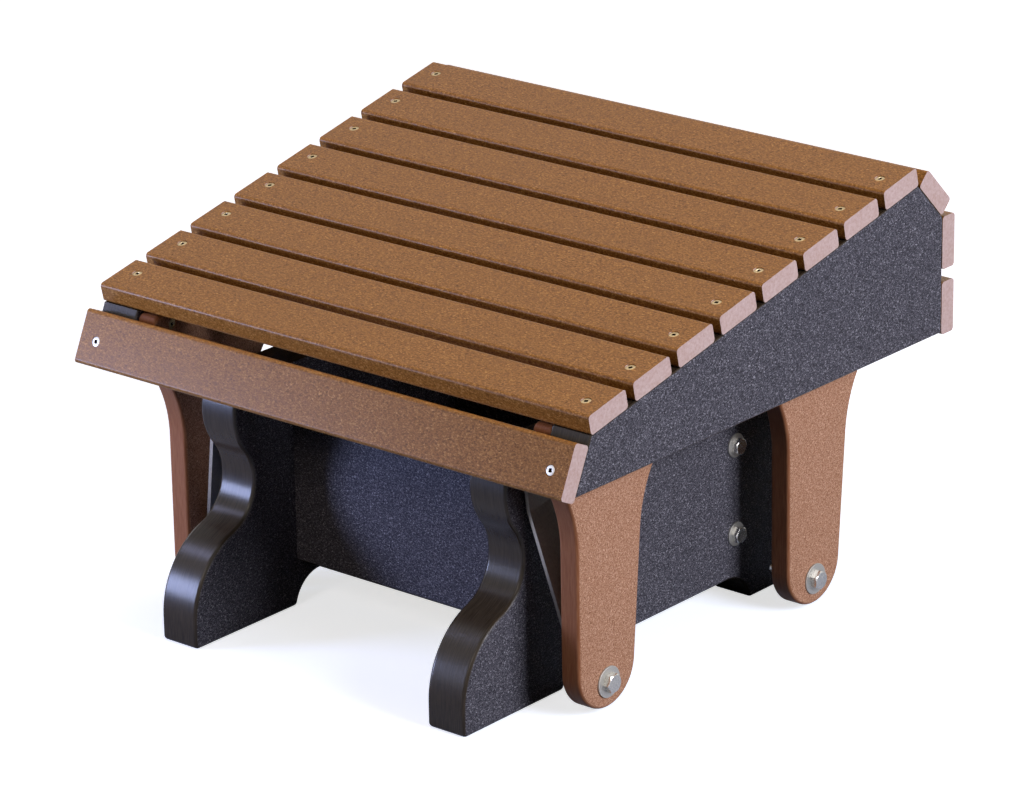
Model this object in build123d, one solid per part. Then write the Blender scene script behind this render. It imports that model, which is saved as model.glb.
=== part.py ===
from build123d import *
import math
import os

# Gliding footrest: a slatted seat hangs by four cranked swing arms from a low two-sided base.
# Millimetres. Z is up, the low front edge of the seat faces -Y, and the origin lies on the floor
# under the middle of the overall box. "Left" is -X and "right" is +X.

# ---- slats, all cut from one stock
SLAT_LENGTH = 508.0            # overall width of the seat
SLAT_WIDTH = 45.1
SLAT_THICKNESS = 16.5
SLAT_GAP = 9.2
SLAT_EDGE_RADIUS = 3.0
TOP_SLATS = 8
REAR_SLATS = 2
REAR_SLAT_GAP = 10.9            # the two slats on the back stand further apart
APRON_SETDOWN = 7.8            # bare nose of the rail above the front apron

# ---- seat rails
RAIL_THICKNESS = 38.0
RAIL_EDGE_RADIUS = 1.5
NOSE_LENGTH = 48.7             # front edge of the rail, bottom corner to top corner
NOSE_LEAN = 24.6               # degrees that it leans back from vertical
NOSE_REACH = 83.3              # bottom corner of the nose ahead of the front lower pivots
SEAT_SLOPE = 12.2              # degrees that the top edge rises to the rear
CHAMFER_DROP = 45.6            # degrees that the rear chamfer falls
CHAMFER_MARGIN = 2.0           # bare rail above and below the chamfer slat

# ---- hangers between the rails and the lower pivots
HANGER_THICKNESS = 19.0
HANGER_EDGE_RADIUS = 3.0
HANGER_LENGTH = 228.4          # lower pivot up to the flat top
HANGER_LAP = 41.9              # part of it that lies on the rail
HANGER_TOE_RADIUS = 34.5
HANGER_TOE_CENTRE = 12.6       # centre of the rounded toe above the pivot
HANGER_TAPER = 4.7             # degrees that the rear edge leans out
HANGER_FLARE_DROP = 112.9      # start of the flare below the top
HANGER_FLARE_RADIUS = 105.0
HANGER_FRONT = 64.0            # block ahead of the pivot
HANGER_REAR = 73.5             # block behind the pivot
HANGER_SHOULDER_RADIUS = 6.0
HANGER_SCREW_INSET = 20.5      # from the ends of the block
HANGER_SCREW_DEPTH = 10.5      # upper row below the top
HANGER_SCREW_PITCH = 21.0      # between the two rows

# ---- base side boards
BOARD_THICKNESS = 38.0
BOARD_LENGTH = 481.0
BOARD_EDGE_RADIUS = 3.2
FOOT_RISE = 20.8               # straight front of the foot
TOE_RADIUS = 71.0
WAIST_RADIUS = 39.6
WAIST_DEPTH = 74.6             # deepest point of the waist behind the toe
CROWN_RADIUS = 51.0
CROWN_SETBACK = 54.1           # foremost point of the crown behind the toe
CROWN_RISE = 29.6              # top edge above the centre of the crown curve
CROWN_CORNER_RADIUS = 8.0
ARCH_HEIGHT = 24.2
ARCH_FLAT = 181.0              # straight middle of the arch
ARCH_RADIUS = 30.0
FOOT_CORNER_RADIUS = 4.0

# ---- base cross boards
CROSS_THICKNESS = 38.0
CROSS_HEIGHT = 124.7
CROSS_LIFT = 39.0
CROSS_SPACING = 200.0          # between the middles of the two boards
LAG_MARGIN = 23.9              # lag bolts from the top and bottom edges

# ---- glide linkage
LOWER_PIVOT_SPACING = 267.0
LOWER_PIVOT_HEIGHT = 26.5
UPPER_PIVOT_SETBACK = 84.5     # behind the toe of the side boards
UPPER_PIVOT_DROP = 20.4        # below the top edge of the side boards
ARM_WIDTH = 28.6
ARM_THICKNESS = 3.2
ARM_CRANK = 27.2               # sideways step from the upper end to the lower end
ARM_FLAT = 24.0                # straight run past each pivot
ARM_BEND_RADIUS = 12.0
COLLAR_DIAMETER = 26.2
COLLAR_FILLET = 0.9

# ---- sealed ball bearings in the swing arms
BEARING_DIAMETER = 22.225
RACE_DIAMETER = 13.0
RACE_WIDTH = 7.14
RACE_STAND = 0.4               # inner race proud of the shell on each side
UPPER_SPACER = 3.6
LOWER_SPACER = 1.6

# ---- fasteners
PIVOT_BOLT = 9.525
PIVOT_FLATS = 14.29
PIVOT_HEAD = 5.9
PIVOT_NUT = 8.0
UPPER_BOLT_LENGTH = 63.5
LOWER_BOLT_LENGTH = 44.45
PIVOT_WASHER = 26.0
SMALL_WASHER = 16.0
WASHER_THICKNESS = 1.6
LAG_BOLT = 7.94
LAG_FLATS = 12.7
LAG_HEAD = 5.4
LAG_LENGTH = 76.2
LAG_POINT = 5.0
LAG_TIP = 1.6
LAG_WASHER = 20.2
HEX_CHAMFER = 30.0             # degrees
BOLT_END_CHAMFER = 0.8
SCREW_DIAMETER = 4.2
SCREW_HEAD = 8.4
SCREW_RIM = 0.6
SCREW_POINT = 6.0
SCREW_RECESS = 0.3
SCREW_INSET = 17.0             # from the ends of a slat
SCREW_STAGGER = 3.8            # off the middle of a slat: back on the left, forward on the right
APRON_SCREW_OFFSET = 2.2       # below the middle of the apron
SLAT_SCREW_LENGTH = 50.8
APRON_SCREW_LENGTH = 38.1
HANGER_SCREW_LENGTH = 31.75

# ---- clearances, each on the radius
SCREW_CLEARANCE = 0.1
BOLT_CLEARANCE = 0.05
BEARING_CLEARANCE = 0.02
SEAL_CLEARANCE = 0.3           # inner race to bearing shell
OPEN_PIVOT_CLEARANCE = 2.5     # the same at the two rear lower pivots
CUTTER_OVERRUN = 1.0

# ---- places across the object, from the seat's outside inwards
rail_outer_x = SLAT_LENGTH / 2
rail_inner_x = rail_outer_x - RAIL_THICKNESS
hanger_inner_x = rail_inner_x - HANGER_THICKNESS
lower_race_x = hanger_inner_x - LOWER_SPACER - RACE_WIDTH
lower_shell_x = lower_race_x + RACE_STAND
shell_width = RACE_WIDTH - 2 * RACE_STAND
lower_strap_x = lower_shell_x + shell_width - ARM_THICKNESS / 2
upper_strap_x = lower_strap_x - ARM_CRANK
upper_shell_x = upper_strap_x - ARM_THICKNESS / 2
upper_race_x = upper_shell_x - RACE_STAND
board_outer_x = upper_race_x - UPPER_SPACER
board_inner_x = board_outer_x - BOARD_THICKNESS
screw_x = rail_outer_x - SCREW_INSET

# ---- heights of the base, where each curve runs on from the one below
toe_and_waist = TOE_RADIUS + WAIST_RADIUS
waist_and_crown = WAIST_RADIUS + CROWN_RADIUS
toe_to_waist = math.acos((toe_and_waist - WAIST_DEPTH) / toe_and_waist)
waist_to_crown = math.acos((waist_and_crown - WAIST_DEPTH + CROWN_SETBACK) / waist_and_crown)
crown_to_top = math.asin(CROWN_RISE / CROWN_RADIUS)
crown_z = (FOOT_RISE + toe_and_waist * math.sin(toe_to_waist)
           + waist_and_crown * math.sin(waist_to_crown))
board_top_z = crown_z + CROWN_RISE
arch_to_floor = math.acos((ARCH_RADIUS - ARCH_HEIGHT) / ARCH_RADIUS)

# ---- pivots and swing arms, measured along Y from the middle of the base
upper_pivot_y = BOARD_LENGTH / 2 - UPPER_PIVOT_SETBACK
upper_pivot_z = board_top_z - UPPER_PIVOT_DROP
lower_pivot_y = LOWER_PIVOT_SPACING / 2
arm_drop = upper_pivot_z - LOWER_PIVOT_HEIGHT
arm_length = math.hypot(upper_pivot_y - lower_pivot_y, arm_drop)
arm_splay = math.degrees(math.atan2(upper_pivot_y - lower_pivot_y, arm_drop))

# ---- outline of the seat rails, measured along Y from the front lower pivots
slope, lean, drop = (math.radians(angle) for angle in (SEAT_SLOPE, NOSE_LEAN, CHAMFER_DROP))
hanger_top_z = LOWER_PIVOT_HEIGHT + HANGER_LENGTH
rail_bottom_z = hanger_top_z - HANGER_LAP
slat_pitch = SLAT_WIDTH + SLAT_GAP
rear_slat_pitch = SLAT_WIDTH + REAR_SLAT_GAP
top_edge = TOP_SLATS * slat_pitch - SLAT_GAP
chamfer_edge = SLAT_WIDTH + 2 * CHAMFER_MARGIN
rail_depth = (NOSE_LENGTH * math.sin(lean) + top_edge * math.cos(slope)
              + chamfer_edge * math.cos(drop))

# ---- the middle of the base, set so that the overall box is centred on Y = 0
seat_back = rail_depth + SLAT_THICKNESS - NOSE_REACH - lower_pivot_y
glide_y = (BOARD_LENGTH / 2 - seat_back) / 2
nose_y = glide_y - lower_pivot_y - NOSE_REACH


def along(start, length, angle):
    """The point a length away from start, at an angle in radians above +Y."""
    return (start[0] + length * math.cos(angle), start[1] + length * math.sin(angle))


nose_bottom = (nose_y, rail_bottom_z)
nose_top = along(nose_bottom, NOSE_LENGTH, math.pi / 2 - lean)
peak = along(nose_top, top_edge, slope)
chamfer_end = along(peak, chamfer_edge, -drop)
rear_bottom = (chamfer_end[0], rail_bottom_z)


# ------------------------------------------------------------------ general pieces
def facing_out(x, y, z):
    """A place on the right-hand side whose own Z points outwards and whose X points to the rear."""
    return Plane(origin=(x, y, z), x_dir=(0, 1, 0), z_dir=(1, 0, 0)).location


def facing_in(x, y, z):
    """A place on the right-hand side whose own Z points inwards."""
    return Plane(origin=(x, y, z), x_dir=(0, 1, 0), z_dir=(-1, 0, 0)).location


def left_of(shape):
    """The mirror image of a right-hand piece."""
    return mirror(shape, about=Plane.YZ)


def both_sides(pieces):
    """Right-hand pieces with their left-hand mirror images."""
    return [copy for piece in pieces for copy in (piece, left_of(piece))]


def spun(*outline):
    """A solid turned about Z from a closed outline of radii and heights."""
    return revolve(Plane.XZ * make_face(Polyline(*outline, close=True)), Axis.Z)


def ring(outer, inner, height):
    """A flat ring standing on Z = 0, from its two radii."""
    return extrude(Circle(outer) - Circle(inner), height)


def hexagon(across_flats, height):
    """A hexagonal prism on Z = 0 with the corners of its top taken off."""
    flat = across_flats / 2
    corner = across_flats / math.sqrt(3)
    shoulder = height - (corner - flat) * math.tan(math.radians(HEX_CHAMFER))
    prism = extrude(RegularPolygon(flat, 6, major_radius=False), height)
    return prism & spun((0, 0), (corner, 0), (corner, shoulder), (flat, height), (0, height))


def pivot_bolt(length):
    """A hexagon-headed bolt along -Z, with the underside of its head on Z = 0."""
    radius = PIVOT_BOLT / 2
    shank = spun((0, 0), (radius, 0), (radius, BOLT_END_CHAMFER - length),
                 (radius - BOLT_END_CHAMFER, -length), (0, -length))
    return hexagon(PIVOT_FLATS, PIVOT_HEAD) + shank


def lag_bolt():
    """A hexagon-headed wood bolt along -Z, with the underside of its head on Z = 0."""
    radius = LAG_BOLT / 2
    shank = spun((0, 0), (radius, 0), (radius, LAG_POINT - LAG_LENGTH),
                 (LAG_TIP / 2, -LAG_LENGTH), (0, -LAG_LENGTH))
    return hexagon(LAG_FLATS, LAG_HEAD) + shank


def bolt_hole(diameter, length):
    """What a bolt takes out of the pieces that it passes through, open above its head."""
    radius = diameter / 2 + BOLT_CLEARANCE
    return spun((0, CUTTER_OVERRUN), (radius, CUTTER_OVERRUN), (radius, -length - BOLT_CLEARANCE),
                (0, -length - BOLT_CLEARANCE))


def nut():
    """A pivot nut on Z = 0."""
    return hexagon(PIVOT_FLATS, PIVOT_NUT) - Pos(0, 0, PIVOT_NUT) * bolt_hole(PIVOT_BOLT, PIVOT_NUT)


def washer(diameter, bolt_diameter):
    """A plain washer on Z = 0."""
    return ring(diameter / 2, bolt_diameter / 2 + BOLT_CLEARANCE, WASHER_THICKNESS)


def screw(length):
    """A countersunk wood screw along -Z, with the top of its head on Z = 0."""
    head = SCREW_HEAD / 2
    shank = SCREW_DIAMETER / 2
    neck = SCREW_RIM + head - shank
    return spun((0, 0), (head, 0), (head, -SCREW_RIM), (shank, -neck),
                (shank, SCREW_POINT - length), (0, -length))


def screw_hole(length):
    """What a screw takes out of the pieces that it joins, open above its head."""
    head = SCREW_HEAD / 2 + SCREW_CLEARANCE
    shank = SCREW_DIAMETER / 2 + SCREW_CLEARANCE
    neck = SCREW_RIM + head - shank + SCREW_CLEARANCE
    mouth = SCREW_RECESS + CUTTER_OVERRUN
    rim = -SCREW_RIM - SCREW_CLEARANCE
    return spun((0, mouth), (head, mouth), (head, rim), (shank, -neck),
                (shank, -length - SCREW_CLEARANCE), (0, -length - SCREW_CLEARANCE))


def drilled(piece, holes):
    """A piece with every hole that runs into it taken out."""
    for hole in holes:
        piece = piece - hole
    return piece


# ------------------------------------------------------------------ seat
def bed(start, direction, run):
    """A frame on an edge of the rail: Y runs along the edge, Z points out of it."""
    origin = along(start, run, direction)
    return Plane(origin=(0, *origin), x_dir=(1, 0, 0),
                 z_dir=(0, -math.sin(direction), math.cos(direction)))


def slat():
    """A slat on Z = 0 with one long edge on Y = 0, and its four long edges eased."""
    section = Pos(SLAT_WIDTH / 2, SLAT_THICKNESS / 2) * RectangleRounded(
        SLAT_WIDTH, SLAT_THICKNESS, SLAT_EDGE_RADIUS)
    return extrude(Plane.YZ * section, SLAT_LENGTH / 2, both=True)


def slat_screw_places(frame, left_offset, right_offset):
    """Places of the two screws of a slat, at the tops of their heads."""
    depth = SLAT_THICKNESS - SCREW_RECESS
    middle = SLAT_WIDTH / 2
    return [frame.location * Pos(-screw_x, middle + left_offset, depth),
            frame.location * Pos(screw_x, middle + right_offset, depth)]


def rail(holes):
    """The right-hand rail: a board cut to the nose, the slope and the rear chamfer."""
    outline = make_face(Polyline(nose_bottom, nose_top, peak, chamfer_end, rear_bottom, close=True))
    blank = extrude(Plane.YZ.offset(rail_inner_x) * outline, RAIL_THICKNESS)
    return drilled(fillet(blank.faces().filter_by(Axis.X).edges(), RAIL_EDGE_RADIUS), holes)


def hanger_outline():
    """The hanger seen from the right with its pivot at the origin: round toe, flared shoulders."""
    taper = math.radians(HANGER_TAPER)
    toe = (0, HANGER_TOE_CENTRE)
    flare_start = HANGER_LENGTH - HANGER_FLARE_DROP
    front_low = (-HANGER_TOE_RADIUS, HANGER_TOE_CENTRE)
    front_high = (-HANGER_TOE_RADIUS, flare_start)
    rear_low = along(toe, HANGER_TOE_RADIUS, -taper)
    rise = flare_start - rear_low[1]
    rear_high = (rear_low[0] + rise * math.tan(taper), flare_start)
    front_turn = math.acos((HANGER_FLARE_RADIUS - HANGER_FRONT + HANGER_TOE_RADIUS)
                           / HANGER_FLARE_RADIUS)
    reach = HANGER_REAR - rear_high[0]
    rear_turn = math.acos(math.cos(taper) - reach / HANGER_FLARE_RADIUS) - taper
    with BuildSketch() as outline:
        with BuildLine():
            ThreePointArc(front_low, along(toe, HANGER_TOE_RADIUS, -math.pi / 2), rear_low)
            Line(rear_low, rear_high)
            rear = JernArc(rear_high, (math.sin(taper), math.cos(taper)), HANGER_FLARE_RADIUS,
                           -math.degrees(rear_turn))
            Polyline(rear @ 1, (HANGER_REAR, HANGER_LENGTH), (-HANGER_FRONT, HANGER_LENGTH))
            Line(front_low, front_high)
            front = JernArc(front_high, (0, 1), HANGER_FLARE_RADIUS, math.degrees(front_turn))
            Line(front @ 1, (-HANGER_FRONT, HANGER_LENGTH))
        make_face()
        shoulders_and_top = outline.vertices().sort_by(Axis.Y)[-4:]
        fillet(shoulders_and_top, HANGER_SHOULDER_RADIUS)
    return outline.sketch


def hanger(pivot_y, holes):
    """A right-hand hanger over its lower pivot."""
    blank = extrude(hanger_outline(), HANGER_THICKNESS)
    eased = fillet(blank.faces().filter_by(Axis.Z).edges(), HANGER_EDGE_RADIUS)
    return drilled(facing_out(hanger_inner_x, pivot_y, LOWER_PIVOT_HEIGHT) * eased, holes)


def hanger_screw_places(pivot_y):
    """Places of the four screws that run outwards through a right-hand hanger."""
    return [facing_in(hanger_inner_x + SCREW_RECESS, pivot_y + across, hanger_top_z - depth)
            for across in (HANGER_SCREW_INSET - HANGER_FRONT, HANGER_REAR - HANGER_SCREW_INSET)
            for depth in (HANGER_SCREW_DEPTH, HANGER_SCREW_DEPTH + HANGER_SCREW_PITCH)]


# ------------------------------------------------------------------ base
def side_board(holes):
    """A right-hand side board: ogee ends above rounded toes, and a low arch between two feet."""
    toe = BOARD_LENGTH / 2
    with BuildSketch(Plane.YZ.offset(board_inner_x)) as outline:
        with BuildLine():
            flat = Line((0, ARCH_HEIGHT), (ARCH_FLAT / 2, ARCH_HEIGHT))
            arch = JernArc(flat @ 1, (1, 0), ARCH_RADIUS, -math.degrees(arch_to_floor))
            foot = Polyline(arch @ 1, (toe, 0), (toe, FOOT_RISE))
            swell = JernArc(foot @ 1, (0, 1), TOE_RADIUS, math.degrees(toe_to_waist))
            waist = JernArc(swell @ 1, swell % 1, WAIST_RADIUS,
                            -math.degrees(toe_to_waist + waist_to_crown))
            crown = JernArc(waist @ 1, waist % 1, CROWN_RADIUS,
                            math.degrees(waist_to_crown + crown_to_top))
            Line(crown @ 1, (0, board_top_z))
            mirror(about=Plane.YZ)
        make_face()
        fillet(outline.vertices().group_by(Axis.Y)[0], FOOT_CORNER_RADIUS)
        fillet(outline.vertices().group_by(Axis.Y)[-1], CROWN_CORNER_RADIUS)
    blank = extrude(outline.sketch, BOARD_THICKNESS)
    eased = fillet(blank.faces().filter_by(Axis.X).edges(), BOARD_EDGE_RADIUS)
    return drilled(Pos(0, glide_y, 0) * eased, holes)


def cross_board(middle_y, holes):
    """A board on edge between the two side boards, its long edges eased."""
    blank = Pos(0, middle_y, CROSS_LIFT + CROSS_HEIGHT / 2) * Box(
        2 * board_inner_x, CROSS_THICKNESS, CROSS_HEIGHT)
    return drilled(fillet(blank.edges().filter_by(Axis.X), BOARD_EDGE_RADIUS), holes)


def lag_places(middle_y):
    """Places of the two lag bolts at the right-hand end of a cross board, under their heads."""
    return [facing_out(board_outer_x + WASHER_THICKNESS, middle_y, z)
            for z in (CROSS_LIFT + LAG_MARGIN, CROSS_LIFT + CROSS_HEIGHT - LAG_MARGIN)]


# ------------------------------------------------------------------ swing arms
def bearing_seat(x, z, radius):
    """A round of a bearing's length along X, at the height z of its pivot."""
    return facing_out(x, 0, z) * extrude(Circle(radius), shell_width)


def swing_arm():
    """A right-hand arm hanging from the origin: a flat strap, cranked outwards and round-ended,
    with a collar drawn round each bearing seat, outwards above and inwards below."""
    end = ARM_WIDTH / 2 + ARM_THICKNESS
    bend = FilletPolyline((upper_strap_x, end), (upper_strap_x, -ARM_FLAT),
                          (lower_strap_x, ARM_FLAT - arm_length),
                          (lower_strap_x, -arm_length - end), radius=ARM_BEND_RADIUS)
    strap = extrude(Plane.XZ * trace(bend, ARM_THICKNESS), ARM_WIDTH / 2, both=True)
    outline = Plane.YZ * Pos(0, -arm_length / 2) * SlotCenterToCenter(arm_length, ARM_WIDTH, 90)
    strap = strap & extrude(outline, lower_strap_x + ARM_THICKNESS)
    seats = ((upper_shell_x, 0), (lower_shell_x, -arm_length))
    for x, z in seats:
        strap = strap + bearing_seat(x, z, COLLAR_DIAMETER / 2)
    rims = strap.edges().filter_by(
        lambda edge: edge.geom_type == GeomType.CIRCLE
        and math.isclose(edge.radius, COLLAR_DIAMETER / 2, rel_tol=1e-4))
    strap = fillet(rims, COLLAR_FILLET)
    for x, z in seats:
        strap = strap - bearing_seat(x, z, BEARING_DIAMETER / 2 + BEARING_CLEARANCE)
    return strap


def bearing_shells(lower_clearance):
    """The outer ring and seals of both bearings of a right-hand arm, each as one ring."""
    outer = BEARING_DIAMETER / 2
    race = RACE_DIAMETER / 2
    return [facing_out(upper_shell_x, 0, 0) * ring(outer, race + SEAL_CLEARANCE, shell_width),
            facing_out(lower_shell_x, 0, -arm_length)
            * ring(outer, race + lower_clearance, shell_width)]


def inner_race():
    """The inner ring of a bearing, clamped by its bolt."""
    return ring(RACE_DIAMETER / 2, PIVOT_BOLT / 2 + BOLT_CLEARANCE, RACE_WIDTH)


def spacer(length):
    """A tube that holds an inner race off the board beside it."""
    return ring(RACE_DIAMETER / 2, PIVOT_BOLT / 2 + BOLT_CLEARANCE, length)


# ------------------------------------------------------------------ the whole object
pieces = {}
ends = {"front": -1, "rear": 1}

# base
upper_pivots = [glide_y + side * upper_pivot_y for side in ends.values()]
cross_middles = [glide_y + side * CROSS_SPACING / 2 for side in ends.values()]
lags = [place for middle in cross_middles for place in lag_places(middle)]
lag_holes = [place * bolt_hole(LAG_BOLT, LAG_LENGTH) for place in lags]
upper_head_x = upper_race_x + RACE_WIDTH + WASHER_THICKNESS
upper_heads = [facing_out(upper_head_x, y, upper_pivot_z) for y in upper_pivots]
upper_holes = [place * bolt_hole(PIVOT_BOLT, UPPER_BOLT_LENGTH) for place in upper_heads]
right_board = side_board(lag_holes + upper_holes)
pieces["base_side_board_right"] = [right_board]
pieces["base_side_board_left"] = [left_of(right_board)]
for name, middle in zip(ends, cross_middles):
    pieces[f"base_cross_board_{name}"] = [cross_board(middle, both_sides(lag_holes))]
pieces["cross_board_bolts"] = both_sides([place * lag_bolt() for place in lags])
pieces["cross_board_washers"] = both_sides(
    [place * Pos(0, 0, -WASHER_THICKNESS) * washer(LAG_WASHER, LAG_BOLT) for place in lags])
pieces["upper_pivot_bolts"] = both_sides(
    [place * pivot_bolt(UPPER_BOLT_LENGTH) for place in upper_heads])
pieces["upper_pivot_washers"] = both_sides(
    [facing_out(upper_race_x + RACE_WIDTH, y, upper_pivot_z) * washer(SMALL_WASHER, PIVOT_BOLT)
     for y in upper_pivots]
    + [facing_in(board_inner_x, y, upper_pivot_z) * washer(PIVOT_WASHER, PIVOT_BOLT)
       for y in upper_pivots])
pieces["upper_pivot_nuts"] = both_sides(
    [facing_in(board_inner_x - WASHER_THICKNESS, y, upper_pivot_z) * nut() for y in upper_pivots])
pieces["upper_inner_races"] = both_sides(
    [facing_out(upper_race_x, y, upper_pivot_z) * inner_race() for y in upper_pivots])
pieces["upper_spacers"] = both_sides(
    [facing_out(board_outer_x, y, upper_pivot_z) * spacer(UPPER_SPACER) for y in upper_pivots])

# swing arms: the lower ends of the front pair lean back, those of the rear pair lean forward
arm = swing_arm()
shells = {"front": bearing_shells(SEAL_CLEARANCE), "rear": bearing_shells(OPEN_PIVOT_CLEARANCE)}
for name, side in ends.items():
    place = Pos(0, glide_y + side * upper_pivot_y, upper_pivot_z) * Rot(-side * arm_splay, 0, 0)
    right_arm = place * arm
    right_shells = [place * shell for shell in shells[name]]
    pieces[f"swing_arm_{name}_right"] = [right_arm]
    pieces[f"swing_arm_{name}_left"] = [left_of(right_arm)]
    pieces[f"bearing_shells_{name}_right"] = right_shells
    pieces[f"bearing_shells_{name}_left"] = [left_of(shell) for shell in right_shells]

# seat: slats run round the rails from the peak of the nose over the chamfer and down the back
beds = {f"top_slat_{row + 1}": bed(nose_top, slope, row * slat_pitch) for row in range(TOP_SLATS)}
rear_beds = {"chamfer_slat": bed(peak, -drop, CHAMFER_MARGIN)}
for row in range(REAR_SLATS):
    rear_beds[f"rear_slat_{row + 1}"] = bed(chamfer_end, -math.pi / 2, row * rear_slat_pitch)
apron_bed = bed(nose_bottom, math.pi / 2 - lean, NOSE_LENGTH - APRON_SETDOWN - SLAT_WIDTH)
top_screws = [place for frame in beds.values()
              for place in slat_screw_places(frame, SCREW_STAGGER, -SCREW_STAGGER)]
rear_screws = [place for frame in rear_beds.values()
               for place in slat_screw_places(frame, SCREW_STAGGER, -SCREW_STAGGER)]
apron_screws = slat_screw_places(apron_bed, -APRON_SCREW_OFFSET, -APRON_SCREW_OFFSET)
slat_holes = [place * screw_hole(SLAT_SCREW_LENGTH) for place in top_screws + rear_screws]
apron_holes = [place * screw_hole(APRON_SCREW_LENGTH) for place in apron_screws]
for row, (name, frame) in enumerate({**beds, **rear_beds}.items()):
    pieces[name] = [drilled(frame * slat(), slat_holes[2 * row:2 * row + 2])]
pieces["front_apron"] = [drilled(apron_bed * slat(), apron_holes)]

lower_pivots = [glide_y + side * lower_pivot_y for side in ends.values()]
hanger_screws = {y: hanger_screw_places(y) for y in lower_pivots}
hanger_holes = [place * screw_hole(HANGER_SCREW_LENGTH)
                for places in hanger_screws.values() for place in places]
lower_heads = {y: facing_out(rail_inner_x + WASHER_THICKNESS, y, LOWER_PIVOT_HEIGHT)
               for y in lower_pivots}
for name, y in zip(ends, lower_pivots):
    bore = lower_heads[y] * bolt_hole(PIVOT_BOLT, LOWER_BOLT_LENGTH)
    screw_holes = [place * screw_hole(HANGER_SCREW_LENGTH) for place in hanger_screws[y]]
    right_hanger = hanger(y, screw_holes + [bore])
    pieces[f"hanger_{name}_right"] = [right_hanger]
    pieces[f"hanger_{name}_left"] = [left_of(right_hanger)]

left_slat_holes = (slat_holes + apron_holes)[0::2]
right_slat_holes = (slat_holes + apron_holes)[1::2]
pieces["seat_rail_right"] = [rail(right_slat_holes + hanger_holes)]
pieces["seat_rail_left"] = [left_of(rail([left_of(hole) for hole in left_slat_holes] + hanger_holes))]

pieces["top_slat_screws"] = [place * screw(SLAT_SCREW_LENGTH) for place in top_screws]
pieces["rear_slat_screws"] = [place * screw(SLAT_SCREW_LENGTH) for place in rear_screws]
pieces["apron_screws"] = [place * screw(APRON_SCREW_LENGTH) for place in apron_screws]
pieces["hanger_screws"] = both_sides(
    [place * screw(HANGER_SCREW_LENGTH) for places in hanger_screws.values() for place in places])
pieces["lower_pivot_bolts"] = both_sides(
    [place * pivot_bolt(LOWER_BOLT_LENGTH) for place in lower_heads.values()])
pieces["lower_pivot_washers"] = both_sides(
    [facing_out(rail_inner_x, y, LOWER_PIVOT_HEIGHT) * washer(PIVOT_WASHER, PIVOT_BOLT)
     for y in lower_pivots]
    + [facing_in(lower_race_x, y, LOWER_PIVOT_HEIGHT) * washer(SMALL_WASHER, PIVOT_BOLT)
       for y in lower_pivots])
pieces["lower_pivot_nuts"] = both_sides(
    [facing_in(lower_race_x - WASHER_THICKNESS, y, LOWER_PIVOT_HEIGHT) * nut()
     for y in lower_pivots])
pieces["lower_inner_races"] = both_sides(
    [facing_out(lower_race_x, y, LOWER_PIVOT_HEIGHT) * inner_race() for y in lower_pivots])
pieces["lower_spacers"] = both_sides(
    [facing_out(lower_race_x + RACE_WIDTH, y, LOWER_PIVOT_HEIGHT) * spacer(LOWER_SPACER)
     for y in lower_pivots])

os.makedirs("parts", exist_ok=True)
for name, solids in pieces.items():
    export_step(Compound([solid for piece in solids for solid in piece.solids()]),
                f"parts/{name}.step")
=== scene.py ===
import bmesh
import bpy
import math
from mathutils import Matrix, Vector


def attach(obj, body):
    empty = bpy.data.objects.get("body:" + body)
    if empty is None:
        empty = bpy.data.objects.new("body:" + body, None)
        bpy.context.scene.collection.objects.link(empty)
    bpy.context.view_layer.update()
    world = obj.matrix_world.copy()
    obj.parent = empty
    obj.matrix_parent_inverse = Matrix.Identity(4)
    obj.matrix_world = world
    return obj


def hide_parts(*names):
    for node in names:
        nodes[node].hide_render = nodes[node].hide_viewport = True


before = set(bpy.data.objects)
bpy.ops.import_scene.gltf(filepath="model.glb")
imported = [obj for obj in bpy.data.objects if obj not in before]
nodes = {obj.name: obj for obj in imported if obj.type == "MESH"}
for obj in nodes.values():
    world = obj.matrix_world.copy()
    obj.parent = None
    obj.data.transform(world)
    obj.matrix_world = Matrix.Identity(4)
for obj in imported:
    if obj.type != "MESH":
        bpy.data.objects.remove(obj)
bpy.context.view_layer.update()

# Gliding footrest. Metres, with millimetres wherever MM stands. Z is up, the low front edge of
# the seat faces -Y, left is -X.
MM = 0.001
# metres below which two places count as one
TINY = 1e-6


# ------------------------------------------------------------------ finishes
def linear(code):
    """An sRGB hex colour as linear red, green, blue and alpha."""
    channels = [int(code[i:i + 2], 16) / 255 for i in (1, 3, 5)]
    return [c / 12.92 if c <= 0.04045 else ((c + 0.055) / 1.055) ** 2.4 for c in channels] + [1.0]


def add(tree, kind, sockets=None, stops=None, **settings):
    """Adds a node with its settings, its sockets by name or number, each a value or a link, and
    the stops of its ramp, each a place and a hex colour."""
    made = tree.nodes.new("ShaderNode" + kind)
    for name, value in settings.items():
        setattr(made, name, value)
    for key, value in (sockets or {}).items():
        if isinstance(value, bpy.types.Node):
            tree.links.new(value.outputs[0], made.inputs[key])
        elif isinstance(value, bpy.types.NodeSocket):
            tree.links.new(value, made.inputs[key])
        else:
            made.inputs[key].default_value = value
    for place, code in (stops or {}).items():
        ends = made.color_ramp.elements
        point = ends[0] if place == min(stops) else ends[-1] if place == max(stops) else None
        if point is None:
            point = ends.new(place)
        point.position = place
        point.color = linear(code)
    return made


def finish_named(name, **shader_settings):
    """A new material: its node tree, and its shader with the settings that never vary."""
    material = bpy.data.materials.new(name)
    material.use_nodes = True
    shader = material.node_tree.nodes["Principled BSDF"]
    for socket, value in shader_settings.items():
        shader.inputs[socket.replace("_", " ")].default_value = value
    return material, material.node_tree, shader


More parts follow.
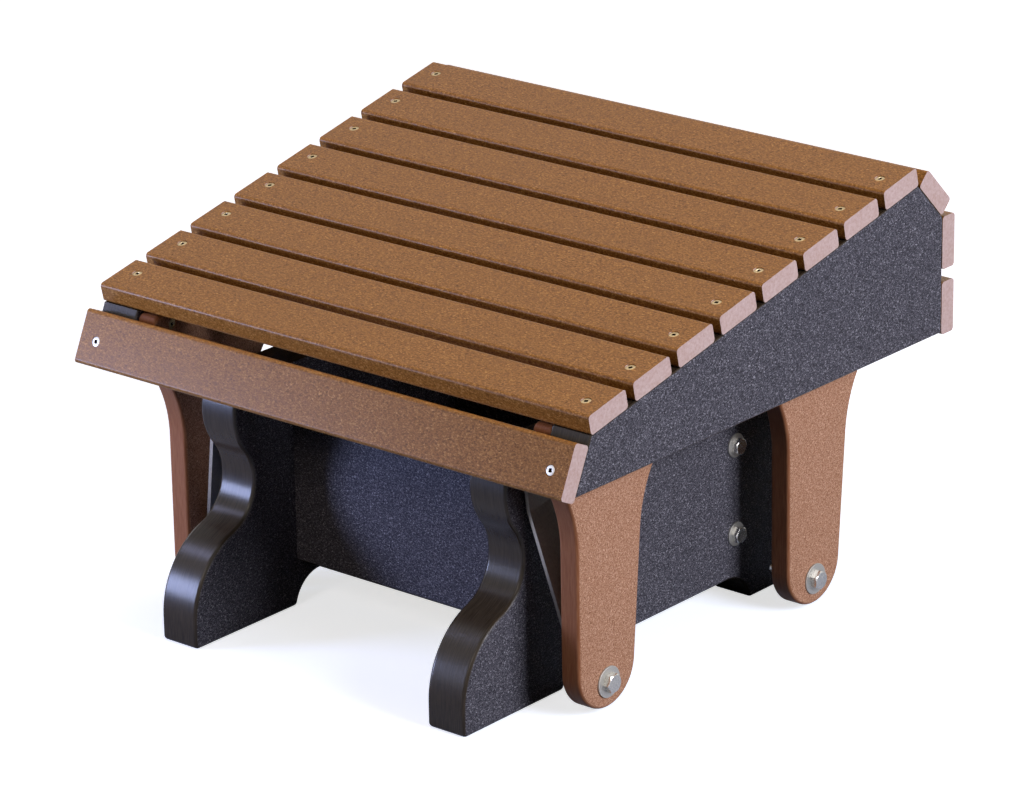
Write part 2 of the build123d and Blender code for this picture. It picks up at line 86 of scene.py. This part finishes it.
def squared_to(tree, axis):
    """Object coordinates, and a mask that is 1 on faces square to an axis and 0 on the others."""
    place = add(tree, "TexCoord")
    across = add(tree, "SeparateXYZ", {0: place.outputs["Normal"]})
    size = add(tree, "Math", {0: across.outputs[axis]}, operation="ABSOLUTE")
    return place.outputs["Object"], add(tree, "MapRange", {0: size, 1: 0.80, 2: 0.97})


def noise(tree, at, size, detail, roughness, distortion=0.0, stretch=None):
    """Noise whose cells are so many millimetres across, drawn out along the axes where the
    stretch is below 1."""
    if stretch:
        at = add(tree, "VectorMath", {0: at, 1: stretch}, operation="MULTIPLY").outputs[0]
    return add(tree, "TexNoise", {"Vector": at, "Scale": 1 / (size * MM),
                                  "Detail": detail, "Roughness": roughness,
                                  "Distortion": distortion})


def blend(tree, share, first, second):
    """The colour that goes from the first to the second with the share, 0 to 1."""
    return add(tree, "Mix", {0: share, 6: first, 7: second}, data_type="RGBA").outputs[2]


def dress(tree, shader, colour, rough, height, depth):
    """Links a colour, a roughness and a relief so many millimetres deep to the shader."""
    tree.links.new(colour, shader.inputs["Base Color"])
    tree.links.new(rough.outputs[0], shader.inputs["Roughness"])
    relief = add(tree, "Bump", {"Height": height, "Distance": depth * MM})
    tree.links.new(relief.outputs[0], shader.inputs["Normal"])


def brown_lumber():
    """Recycled polyethylene lumber, foamed and extruded: a golden brown skin with a fine mottle
    and a soft satin sheen, and paler, pinker pores where a slat has been cut to length."""
    material, tree, shader = finish_named("brown_polyethylene_lumber_extruded",
                                          IOR=1.5, Specular_IOR_Level=0.17)
    at, cut = squared_to(tree, "X")
    # the real mottle is 0.5 mm grains of pigment, drawn 1.3 mm so that they show at all, and
    # a little longer along the board, the way it was drawn
    mottle = noise(tree, at, 1.3, 3.0, 0.72, 0.6, (0.6, 1, 1))
    skin = add(tree, "ValToRGB", {0: mottle},
               {0.34: "#5c3814", 0.46: "#845722", 0.56: "#9d6b2f", 0.70: "#d2a060"})
    # long clouds 30 mm wide, where the pigment was mixed less well
    clouds = noise(tree, at, 30, 2.0, 0.5, stretch=(0.25, 1, 1))
    deep = add(tree, "Math", {0: clouds, 1: 0.45}, operation="MULTIPLY")
    worn = blend(tree, deep, skin, linear("#835a2a"))
    # the foam's pores show as a soft grain of about 2 mm where a slat has been sawn
    pores = noise(tree, at, 2.2, 3.0, 0.6)
    ends = add(tree, "ValToRGB", {0: pores}, {0.25: "#b89a90", 0.5: "#c6aca5", 0.8: "#d6c2bc"})
    smeared = add(tree, "Math", {0: clouds, 1: 0.35}, operation="MULTIPLY")
    sawn = blend(tree, smeared, ends, linear("#b3907c"))
    rough = add(tree, "MapRange", {0: mottle, 1: 0.3, 2: 0.7, 3: 0.26, 4: 0.42})
    matt = add(tree, "Math", {0: cut, 1: 0.25}, operation="MULTIPLY")
    dull = add(tree, "Math", {0: rough, 1: matt}, operation="ADD")
    dress(tree, shader, blend(tree, cut, worn, sawn), dull, mottle, 0.08)
    return material


def brown_sheet():
    """The same polyethylene pressed in sheet and routed to shape: tan faces with short paler
    fibres at every angle, and darker edges that the cutter left smooth and streaked."""
    material, tree, shader = finish_named("brown_polyethylene_sheet_routed",
                                          IOR=1.5, Specular_IOR_Level=0.15)
    at, face = squared_to(tree, "X")
    # fibres 1.2 mm long, warped so that they turn every way
    fibres = noise(tree, at, 1.2, 3.0, 0.7, 1.2)
    tan = add(tree, "ValToRGB", {0: fibres},
              {0.34: "#774a2f", 0.46: "#a37458", 0.56: "#bd8f71", 0.70: "#e6c2a6"})
    # cutter streaks 0.8 mm apart run down the edge
    streaks = noise(tree, at, 0.8, 2.0, 0.6, stretch=(1, 0.06, 0.06))
    dark = add(tree, "ValToRGB", {0: streaks}, {0.3: "#8a5538", 0.7: "#a16c4a"})
    rough = add(tree, "MapRange", {0: face, 3: 0.38, 4: 0.60})
    height = add(tree, "Mix", {0: face, 2: streaks, 3: fibres})
    dress(tree, shader, blend(tree, face, dark, tan), rough, height, 0.14)
    return material


def black_sheet(name, broad):
    """Black recycled polyethylene sheet, its broad faces square to one axis: they are pebbled,
    and their short pale flecks are partly pale specks in the plastic and partly a painted
    highlight where the raised grains catch the light. Its routed edges are smooth and satin,
    and their warm brown tint is a painted reflection."""
    material, tree, shader = finish_named(name, IOR=1.5)
    at, face = squared_to(tree, broad)
    # grains 1.1 mm across, coarser than the real ones so that they show, and a little longer
    # level than upright
    pebble = noise(tree, at, 1.1, 3.0, 0.68, 1.0, (0.7, 0.7, 1))
    # the palest stop is partly pale specks in the plastic and partly a painted highlight on the
    # grains' peaks
    skin = add(tree, "ValToRGB", {0: pebble},
               {0.33: "#282629", 0.46: "#3c3a40", 0.57: "#5c5a61", 0.69: "#b0adb2"})
    # the cutter left the edges streaked, 0.8 mm apart; their warm brown tint is a painted
    # reflection of the brown seat and the warm floor
    streaks = noise(tree, at, 0.8, 2.0, 0.65, stretch=(1, 0.05, 0.05))
    routed = add(tree, "ValToRGB", {0: streaks}, {0.3: "#261e15", 0.7: "#3d3327"})
    rough = add(tree, "MapRange", {0: face, 3: 0.25, 4: 0.46})
    # the pebbled skin scatters most of what the smooth edges mirror
    mirror = add(tree, "MapRange", {0: face, 3: 0.24, 4: 0.06})
    tree.links.new(mirror.outputs[0], shader.inputs["Specular IOR Level"])
    smooth = add(tree, "Math", {0: streaks, 1: 0.15}, operation="MULTIPLY")
    height = add(tree, "Mix", {0: face, 2: smooth, 3: pebble})
    dress(tree, shader, blend(tree, face, routed, skin), rough, height, 0.28)
    return material


def bare_steel(name, dark, light, rough, size, depth):
    """Steel with marks of one size in millimetres, which vary its colour, gloss and surface."""
    material, tree, shader = finish_named(name, Metallic=1.0)
    place = add(tree, "TexCoord")
    marks = noise(tree, place.outputs["Object"], size, 3.0, 0.6)
    colour = add(tree, "ValToRGB", {0: marks}, {0.3: dark, 0.7: light})
    wear = add(tree, "MapRange", {0: marks, 1: 0.3, 2: 0.7, 3: rough - 0.06, 4: rough + 0.08})
    dress(tree, shader, colour.outputs[0], wear, marks, depth)
    return material


slat_plastic = brown_lumber()
hanger_plastic = brown_sheet()
board_plastic = black_sheet("black_polyethylene_sheet_pebbled", "X")
cross_plastic = black_sheet("black_polyethylene_sheet_pebbled_cross_boards", "Y")
# cold-forged stainless heads: bright, with faint die marks about 1 mm across
bright_steel = bare_steel("stainless_steel_forged", "#c2bfb8", "#e2dfd8", 0.22, 1.0, 0.015)
# washers stamped from sheet: the same steel, tumbled to a soft grey
washer_steel = bare_steel("stainless_steel_tumbled", "#a9a69f", "#c4c1ba", 0.48, 0.8, 0.02)
# strap rolled, bent and zinc plated: greyer, with a faint spangle 1.4 mm across
arm_steel = bare_steel("zinc_plated_steel_strap", "#8e8a84", "#aaa59d", 0.36, 1.4, 0.03)
# deck screws with a thin tan coating that the steel shines through, worn in specks of 0.5 mm
screw_coat = bare_steel("tan_coated_screw_steel", "#a08a62", "#cfbc98", 0.36, 0.5, 0.01)
# the drive sockets, painted dark: painted shade in the recesses, where little light reaches
socket_painted_shade = bare_steel("dark_drive_socket_steel", "#1c1712", "#3a3128", 0.55, 0.5, 0.01)

for name, node in nodes.items():
    if name.endswith(("screws", "bolts", "nuts", "races", "spacers")) or "shells" in name:
        finish = bright_steel
    elif name.endswith("washers"):
        finish = washer_steel
    elif "slat" in name or name == "front_apron":
        finish = slat_plastic
    elif name.startswith("hanger"):
        finish = hanger_plastic
    elif name.startswith("swing_arm"):
        finish = arm_steel
    elif name.startswith("base_cross"):
        finish = cross_plastic
    else:
        finish = board_plastic
    node.data.materials.clear()
    node.data.materials.append(finish)


# ------------------------------------------------------------------ modelling by hand
def start(primitive, **settings):
    """Adds a primitive with everything else deselected, and opens it for editing."""
    bpy.ops.object.select_all(action="DESELECT")
    primitive(**settings)
    bpy.ops.object.mode_set(mode="EDIT")
    return bpy.context.object


def cylinder(sides, radius, depth, foot=0.0):
    """Adds a cylinder that rises from its foot on Z, all in millimetres, and opens it for
    editing."""
    piece = start(bpy.ops.mesh.primitive_cylinder_add, vertices=sides, radius=radius * MM,
                  depth=depth * MM, location=(0, 0, (foot + depth / 2) * MM))
    bpy.ops.object.mode_set(mode="OBJECT")
    bpy.ops.object.transform_apply(location=True)
    bpy.ops.object.mode_set(mode="EDIT")
    return piece


def combine(piece, other, operation):
    """Cuts the other piece, which is being edited, out of a piece or joins it on, then opens the
    piece for editing."""
    bpy.ops.object.mode_set(mode="OBJECT")
    bpy.context.view_layer.objects.active = piece
    step = piece.modifiers.new("step", "BOOLEAN")
    step.operation = operation
    step.object = other
    bpy.ops.object.modifier_apply(modifier="step")
    bpy.data.objects.remove(other)
    bpy.ops.object.mode_set(mode="EDIT")


def pick(kind, test):
    """Selects the vertices, edges or faces whose middle passes the test."""
    bpy.ops.mesh.select_mode(type=kind)
    bpy.ops.mesh.select_all(action="DESELECT")
    mesh = bmesh.from_edit_mesh(bpy.context.object.data)
    for part in {"VERT": mesh.verts, "EDGE": mesh.edges, "FACE": mesh.faces}[kind]:
        corners = [part] if kind == "VERT" else part.verts
        middle = sum((corner.co for corner in corners), Vector()) / len(corners)
        part.select_set(test(middle))
    mesh.select_flush_mode()
    bmesh.update_edit_mesh(bpy.context.object.data)


def draw_out(rise, scale):
    """Extrudes what is selected along Z, in millimetres, and scales its new end."""
    bpy.ops.mesh.extrude_region_move(TRANSFORM_OT_translate={"value": (0, 0, rise * MM)})
    bpy.ops.transform.resize(value=(scale, scale, 1))


def put_down(piece, finish, soften):
    """Leaves editing: faces outwards, edges softened in millimetres, smooth shading."""
    bpy.ops.mesh.select_all(action="SELECT")
    bpy.ops.mesh.remove_doubles(threshold=0.001 * MM)
    bpy.ops.mesh.normals_make_consistent(inside=False)
    bpy.ops.object.mode_set(mode="OBJECT")
    edges = piece.modifiers.new("edges", "BEVEL")
    edges.width = soften * MM
    edges.segments = 2
    edges.limit_method = "ANGLE"
    edges.angle_limit = math.radians(28)
    bpy.ops.object.modifier_apply(modifier="edges")
    bpy.ops.object.shade_smooth_by_angle(angle=math.radians(35))
    if finish:
        piece.data.materials.append(finish)
    return piece


def hexagon_head(flats, height, chamfer):
    """A hexagon on Z = 0, open for editing: a round blank, coned at the top and cut six times."""
    corner = flats / math.sqrt(3)
    flat_top = flats * 0.485
    piece = cylinder(72, corner, height - chamfer)
    pick("FACE", lambda at: at.z > (height - chamfer) * MM - TINY)
    draw_out(chamfer, flat_top / corner)
    for side in range(6):
        turn = math.radians(60 * side + 30)
        way = Vector((math.cos(turn), math.sin(turn), 0))
        bpy.ops.mesh.select_all(action="SELECT")
        bpy.ops.mesh.bisect(plane_co=way * flats / 2 * MM, plane_no=way, use_fill=True,
                            clear_outer=True)
    return piece


def bored(piece, radius, finish, soften):
    """Takes a round hole along Z through a piece that is being edited, and puts it down."""
    bpy.ops.object.mode_set(mode="OBJECT")
    drill = cylinder(48, radius, 60, -30)
    combine(piece, drill, "DIFFERENCE")
    return put_down(piece, finish, soften)


def with_shank(piece, radius, length, pitch, threads, point, tip):
    """Adds the shank of a bolt below Z = 0, threaded at its end, and puts the bolt down."""
    bpy.ops.object.mode_set(mode="OBJECT")
    plain = length - threads * pitch - point
    into_head = 2.0
    root = 0.86
    shank = cylinder(36, radius, plain + into_head, -plain)
    pick("FACE", lambda at: at.z < TINY - plain * MM and at.xy.length < TINY)
    for _ in range(threads):
        draw_out(-pitch / 2, root)
        draw_out(-pitch / 2, 1 / root)
    draw_out(-point, tip)
    bpy.ops.mesh.select_all(action="SELECT")
    bpy.ops.mesh.normals_make_consistent(inside=False)
    combine(piece, shank, "UNION")
    return put_down(piece, bright_steel, 0.25)


def washer(diameter, bolt):
    """A stamped washer on Z = 0, its edges rolled by the tumbling."""
    return bored(cylinder(64, diameter / 2, WASHER), bolt / 2 + BOLT_PLAY, washer_steel, 0.35)


def lock_nut():
    """A lock nut on Z = 0: a hexagon with a round collar crimped over its nylon ring."""
    height = 5.6
    body = hexagon_head(PIVOT_FLATS, height, 0.9)
    pick("FACE", lambda at: at.z > height * MM - TINY)
    draw_out(0.01, 0.93)
    draw_out(1.7, 1.0)
    draw_out(0.69, 0.86)
    return bored(body, PIVOT_BOLT / 2 + BOLT_PLAY, bright_steel, 0.2)


def square_drive_screw(length, drive, finish):
    """A countersunk screw below Z = 0 with a square drive sunk in its flat head. The socket has
    a short lead-in above its recess, and the head's rim falls away by the dish."""
    head, shank, rim, point, dish = 4.2, 2.1, 0.6, 6.0, 0.25
    lead_in, recess = 0.25, 2.2
    inside = drive * 0.51 * MM
    screw = start(bpy.ops.mesh.primitive_circle_add, vertices=32, radius=head * MM)
    bpy.ops.mesh.select_all(action="DESELECT")
    bpy.ops.mesh.primitive_plane_add(size=drive * MM)
    bpy.ops.mesh.delete(type="ONLY_FACE")
    pick("EDGE", lambda at: max(abs(at.x), abs(at.y)) < inside)
    bpy.ops.mesh.subdivide(number_cuts=7)
    bpy.ops.mesh.select_all(action="SELECT")
    bpy.ops.mesh.bridge_edge_loops()
    pick("VERT", lambda at: max(abs(at.x), abs(at.y)) < inside)
    draw_out(-lead_in, 0.94)
    draw_out(-recess, 0.8)
    bpy.ops.mesh.edge_face_add()
    screw.data.materials.append(finish)
    # the recess below the lead-in takes the painted shade
    screw.data.materials.append(socket_painted_shade)
    pick("FACE", lambda at: max(abs(at.x), abs(at.y)) < inside and at.z < -lead_in * 0.8 * MM)
    screw.active_material_index = 1
    bpy.ops.object.material_slot_assign()
    pick("VERT", lambda at: at.xy.length > (head - 0.05) * MM)
    bpy.ops.transform.translate(value=(0, 0, -dish * MM))
    draw_out(dish - rim, 1.0)
    draw_out(shank - head, shank / head)
    draw_out(rim + head - shank + point - length, 1.0)
    draw_out(-point, 0.06)
    bpy.ops.mesh.edge_face_add()
    return put_down(screw, None, 0.12)


# Sizes and places of the fasteners, in millimetres, as the solids have them.
WASHER, BOLT_PLAY = 1.6, 0.05
PIVOT_BOLT, PIVOT_FLATS, PIVOT_HEAD = 9.525, 14.29, 5.9
LAG_BOLT, LAG_FLATS, LAG_HEAD = 7.94, 12.7, 5.4
GLIDE_Y = -14.7118
UPPER_PIVOTS = [(GLIDE_Y + reach, 191.9735) for reach in (-156.0, 156.0)]
LOWER_PIVOTS = [(GLIDE_Y + reach, 26.5) for reach in (-133.5, 133.5)]
LAGS = [(GLIDE_Y + y, z) for y in (-100, 100) for z in (62.9, 139.8)]
HANGER_SCREWS = [(y + across, z) for y, _ in LOWER_PIVOTS for across in (-43.5, 53.0)
                 for z in (244.4, 223.4)]
BOARD_INNER, BOARD_OUTER, UPPER_HEAD = 122.6, 160.6, 172.94
UPPER_RACE_END, LOWER_RACE, RAIL_INNER, HANGER_INNER = 171.34, 188.26, 216.0, 197.0
SCREW_X, SCREW_MIDDLE, SCREW_TOP, SCREW_STAGGER, APRON_OFFSET = 237.0, 22.55, 16.2, 3.8, -2.2
SCREW_SUNK = 0.3
# each slat's near lower edge, as Y and Z, and the angle that it lies at
SLOPE, CHAMFER, LEAN = math.radians(12.2), math.radians(-45.6), math.radians(65.4)
PITCH = 54.3
SEAT_BEDS = [(-211.2389 + PITCH * row * math.cos(SLOPE), 257.2798 + PITCH * row * math.sin(SLOPE),
              SLOPE) for row in range(8)]
REAR_BEDS = [(204.3583 + 2 * math.cos(CHAMFER), 347.1351 + 2 * math.sin(CHAMFER), CHAMFER),
             (238.7118, 312.0545, -math.pi / 2), (238.7118, 256.0545, -math.pi / 2)]
APRON_BED = (-231.5118 - 4.2 * math.cos(LEAN), 213.0 - 4.2 * math.sin(LEAN), LEAN)


def facing(side, x, y, z, turn=0.0):
    """A place whose own Z looks along X to one side, turned about it in degrees."""
    base = Matrix(((0, 0, side), (1, 0, 0), (0, side, 0))).to_4x4()
    return (Matrix.Translation(Vector((x, y, z)) * MM) @ base
            @ Matrix.Rotation(math.radians(turn), 4, "Z"))


def on_slat(bed, x, offset, turn):
    """The place of a screw head on a slat, across from the middle of its width."""
    y, z, angle = bed
    return (Matrix.Translation(Vector((0, y, z)) * MM) @ Matrix.Rotation(angle, 4, "X")
            @ Matrix.Translation(Vector((x, SCREW_MIDDLE + offset, SCREW_TOP)) * MM)
            @ Matrix.Rotation(math.radians(turn), 4, "Z"))


def fit(model, name, places, body, node):
    """Puts a copy of the model in each place, each with a mesh of its own, for a CAD node."""
    for count, place in enumerate(places, 1):
        piece = model.copy()
        piece.data = model.data.copy()
        piece.name = piece.data.name = f"{name}_{count}"
        piece.data.transform(place)
        bpy.context.scene.collection.objects.link(piece)
        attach(piece, body)
        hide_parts(node)


# Hands tighten no two heads alike: these are the turns that they came to rest at.
TURNS = (8, 31, -14, 22, 47, 3, -27, 16, 38, -6, 12, 52, 27, -19, 41, 5)
sides = (1, -1)
slat_screw = square_drive_screw(50.8, 3.2, screw_coat)
slat_places = [on_slat(bed, side * SCREW_X, -side * SCREW_STAGGER,
                       TURNS[(3 * row + side) % len(TURNS)])
               for row, bed in enumerate(SEAT_BEDS + REAR_BEDS) for side in sides]
on_top = len(SEAT_BEDS) * len(sides)
fit(slat_screw, "top_slat_screw", slat_places[:on_top], "seat",
    "top_slat_screws")
fit(slat_screw, "rear_slat_screw", slat_places[on_top:], "seat",
    "rear_slat_screws")
apron_screw = square_drive_screw(38.1, 3.2, washer_steel)
fit(apron_screw, "apron_screw",
    [on_slat(APRON_BED, side * SCREW_X, APRON_OFFSET, 12) for side in sides],
    "seat", "apron_screws")
hanger_screw = square_drive_screw(31.75, 3.0, screw_coat)
fit(hanger_screw, "hanger_screw",
    [facing(-side, side * (HANGER_INNER + SCREW_SUNK), y, z, TURNS[count + 3])
     for side in sides for count, (y, z) in enumerate(HANGER_SCREWS)],
    "seat", "hanger_screws")

lag_bolt = with_shank(hexagon_head(LAG_FLATS, LAG_HEAD, 0.9), LAG_BOLT / 2, 76.2, 2.4, 20, 5.0,
                      0.2)
fit(lag_bolt, "cross_board_bolt",
    [facing(side, side * (BOARD_OUTER + WASHER), y, z, TURNS[2 * count])
     for side in sides for count, (y, z) in enumerate(LAGS)],
    "base", "cross_board_bolts")
lag_washer = washer(20.2, LAG_BOLT)
fit(lag_washer, "cross_board_washer",
    [facing(side, side * BOARD_OUTER, y, z) for side in sides for y, z in LAGS],
    "base", "cross_board_washers")

upper_bolt, lower_bolt = (with_shank(hexagon_head(PIVOT_FLATS, PIVOT_HEAD, 1.0), PIVOT_BOLT / 2,
                                     length, 1.5875, 14, 0.8, 0.84) for length in (63.5, 44.45))
nut = lock_nut()
wide_washer = washer(26.0, PIVOT_BOLT)
small_washer = washer(16.0, PIVOT_BOLT)
for model, name, x, way, pivots, body in (
        (upper_bolt, "upper_pivot_bolt", UPPER_HEAD, 1, UPPER_PIVOTS, "base"),
        (nut, "upper_pivot_nut", BOARD_INNER - WASHER, -1, UPPER_PIVOTS, "base"),
        (small_washer, "upper_pivot_washer", UPPER_RACE_END, 1, UPPER_PIVOTS, "base"),
        (wide_washer, "upper_pivot_wide_washer", BOARD_INNER, -1, UPPER_PIVOTS, "base"),
        (lower_bolt, "lower_pivot_bolt", RAIL_INNER + WASHER, 1, LOWER_PIVOTS, "seat"),
        (nut, "lower_pivot_nut", LOWER_RACE - WASHER, -1, LOWER_PIVOTS, "seat"),
        (wide_washer, "lower_pivot_wide_washer", RAIL_INNER, 1, LOWER_PIVOTS, "seat"),
        (small_washer, "lower_pivot_washer", LOWER_RACE, -1, LOWER_PIVOTS, "seat")):
    fit(model, name, [facing(side * way, side * x, y, z, TURNS[count + 5])
                      for side in sides for count, (y, z) in enumerate(pivots)],
        body, name.replace("wide_", "") + "s")
for model in (slat_screw, apron_screw, hanger_screw, lag_bolt, lag_washer, upper_bolt, lower_bolt,
              nut, wide_washer, small_washer):
    bpy.data.objects.remove(model)


# ------------------------------------------------------------------ floor, light and camera
def to_the_eye(tree):
    """The light path, and a mask that is 1 for what the camera sees and for reflections."""
    ray = add(tree, "LightPath")
    return ray, add(tree, "Math", {0: ray.outputs["Is Camera Ray"],
                                   1: ray.outputs["Is Glossy Ray"]}, operation="MAXIMUM")


def pale_floor():
    """Pale studio paper with the object's soft shadow on it. It glows white for the camera
    alone, and is a dark grey to the light that it would throw back under the seat."""
    material, tree, shader = finish_named("pale_studio_paper", Roughness=0.9,
                                          Specular_IOR_Level=0.0)
    ray, seen = to_the_eye(tree)
    tree.links.new(blend(tree, seen, linear("#262627"), linear("#dbe6f5")),
                   shader.inputs["Base Color"])
    # far from the lamps the paper would turn grey: between 1 and 4 m out the glow takes over
    place = add(tree, "TexCoord")
    away = add(tree, "VectorMath", {0: place.outputs["Object"]}, operation="LENGTH")
    white = add(tree, "MapRange", {0: away.outputs["Value"], 1: 1.0, 2: 4.0, 3: 0.68, 4: 1.0})
    glow = add(tree, "Math", {0: ray.outputs["Is Camera Ray"], 1: white}, operation="MULTIPLY")
    tree.links.new(glow.outputs[0], shader.inputs["Emission Strength"])
    shader.inputs["Emission Color"].default_value = (1, 1, 1, 1)
    return material


bpy.ops.object.select_all(action="DESELECT")
bpy.ops.mesh.primitive_plane_add(size=30, location=(0, 0, 0))
floor = bpy.context.object
floor.name = "floor"
floor.data.materials.append(pale_floor())

world = bpy.data.worlds.new("studio")
bpy.context.scene.world = world
world.use_nodes = True
tree = world.node_tree
# white behind the object and in its gloss, and a faint even light everywhere else
_, seen = to_the_eye(tree)
tree.links.new(blend(tree, seen, (0.022, 0.021, 0.020, 1), (1, 1, 1, 1)),
               tree.nodes["Background"].inputs["Color"])


def softbox(name, place, size, watts, tint):
    """A square lamp that looks at the middle of the object."""
    middle = Vector((0, 0, 0.15))
    lamp = bpy.data.lights.new(name, "AREA")
    lamp.energy = watts
    lamp.color = linear(tint)[:3]
    lamp.size = size
    holder = bpy.data.objects.new(name, lamp)
    bpy.context.scene.collection.objects.link(holder)
    holder.location = place
    holder.rotation_euler = (middle - Vector(place)).to_track_quat("-Z", "Y").to_euler()


softbox("window_right", (2.6, 0.1, 1.3), 1.1, 84, "#eef0ff")
softbox("ceiling_front", (0.3, -3.3, 2.6), 1.2, 26, "#fff0e6")
softbox("ceiling_warm", (-0.3, 0.3, 4.0), 2.0, 52, "#ffd898")
softbox("window_low_left", (-1.0, -1.05, 0.3), 0.4, 18.5, "#bccaff")
softbox("window_high_left", (-1.9, -1.0, 1.9), 0.4, 6.5, "#c6ccff")

# the camera as it was fitted to the photograph
camera = bpy.data.cameras.new("camera")
camera.lens = 172.85
camera.sensor_width = 36
camera.clip_end = 100
holder = bpy.data.objects.new("camera", camera)
bpy.context.scene.collection.objects.link(holder)
azimuth, elevation, roll = (math.radians(angle) for angle in (40.365, 20.128, -1.003))
back = Vector((math.sin(azimuth) * math.cos(elevation), -math.cos(azimuth) * math.cos(elevation),
               math.sin(elevation)))
right = Vector((math.cos(azimuth), math.sin(azimuth), 0))
up = back.cross(right)
rolled_right = right * math.cos(roll) + up * math.sin(roll)
rolled_up = up * math.cos(roll) - right * math.sin(roll)
holder.matrix_world = Matrix.LocRotScale(
    (2.4394, -2.8712, 1.5484), Matrix((rolled_right, rolled_up, back)).transposed(), None)
bpy.context.scene.camera = holder
bpy.context.scene.view_settings.view_transform = "Standard"
